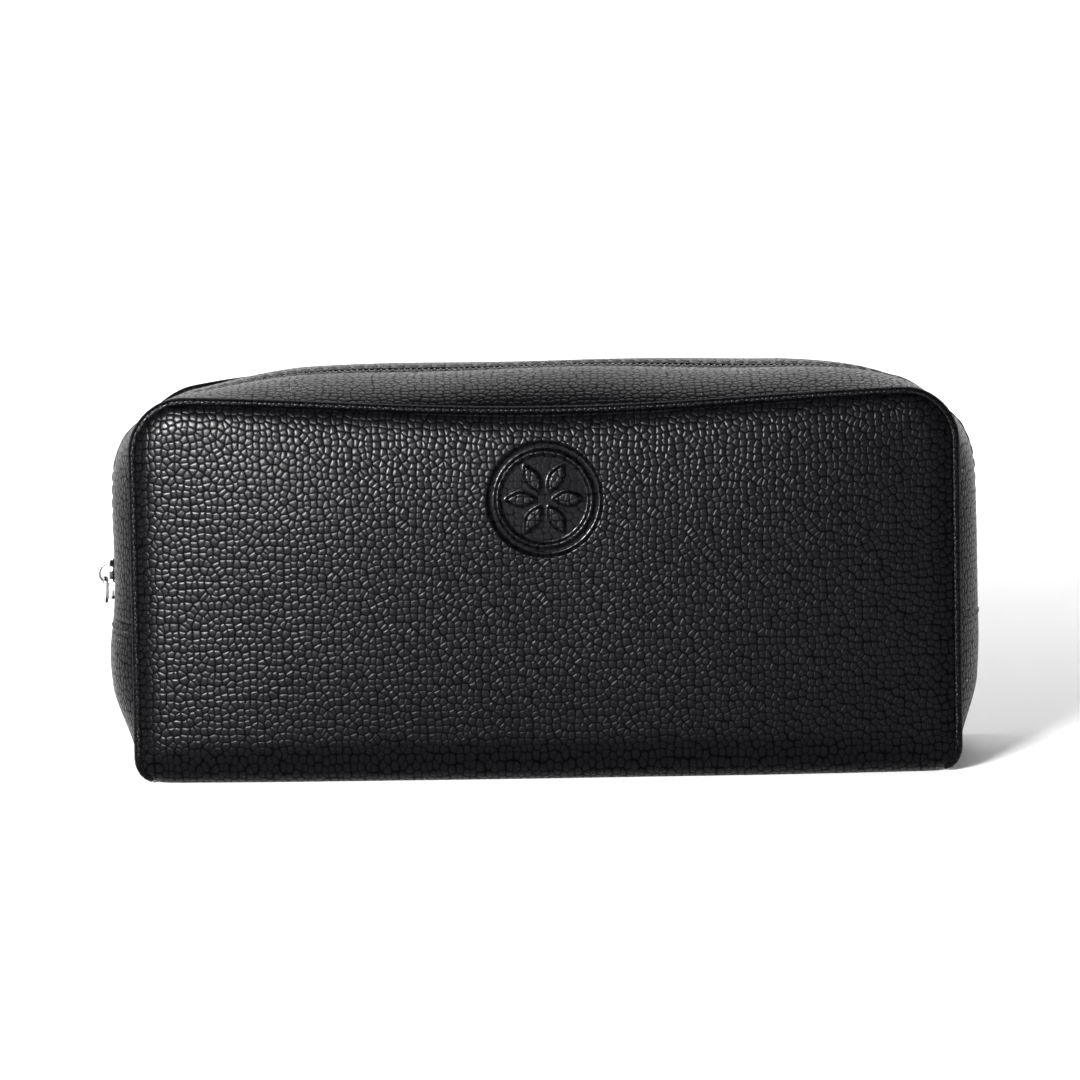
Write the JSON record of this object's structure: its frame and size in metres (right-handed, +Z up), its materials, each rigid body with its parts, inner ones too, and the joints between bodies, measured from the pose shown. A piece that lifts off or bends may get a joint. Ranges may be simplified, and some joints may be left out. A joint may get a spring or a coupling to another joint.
{
  "type": "makeup bag",
  "caption": "Small black pebbled-leather makeup bag, box shaped, with a zip along its arched gusset, a metal slider on the side and a front wall that folds open.",
  "frame": {"origin": "centre of the base, on the surface that the bag stands on", "axes": "+Z up, -Y towards the front wall, +X towards the side without the slider"},
  "size_m": [0.2217, 0.08, 0.1025],
  "materials": {
    "leather": "satin",
    "lining_cloth": "matte",
    "zip_nylon": "satin",
    "zip_tape": "matte",
    "silver_metal": "polished",
    "foam": "matte",
    "board": "matte"
  },
  "bodies": {
    "bag": {"main_panel": "leather", "back_gusset": "leather", "left_side_gusset": "leather", "right_side_gusset": "leather", "front_welt_feet": "leather", "back_welt": "leather", "back_zip_tape": "zip_tape", "back_zip_coil": "zip_nylon", "back_zip_stops": "silver_metal", "base_board": "board", "lower_front_padding": "foam", "back_padding": "foam", "main_lining": "lining_cloth", "back_gusset_lining": "lining_cloth", "left_side_lining": "lining_cloth", "right_side_lining": "lining_cloth", "slip_pocket": "lining_cloth", "pocket_binding": "zip_tape"},
    "front": {"front_panel": "leather", "front_gusset": "leather", "front_welt": "leather", "front_zip_tape": "zip_tape", "front_zip_coil": "zip_nylon", "front_zip_stops": "silver_metal", "front_padding": "foam", "front_lining": "lining_cloth", "front_gusset_lining": "lining_cloth"},
    "slider": {"slider_body": "silver_metal", "slider_bridge": "silver_metal"},
    "pull": {"pull_ring": "silver_metal"}
  },
  "joints": [
    {"name": "front_fold", "type": "hinge", "parent": "bag", "child": "front", "pos_m": [0, -0.04, 0.04], "axis": [1, 0, 0], "range_deg": [0, 35]},
    {"name": "zip_slide", "type": "slide", "parent": "bag", "child": "slider", "axis": [0, 0, 1], "range_m": [0, 0.02]},
    {"name": "pull_swing", "type": "hinge", "parent": "slider", "child": "pull", "pos_m": [-0.11105, 0, 0.04815], "axis": [0, 1, 0], "range_deg": [0, 170]}
  ]
}
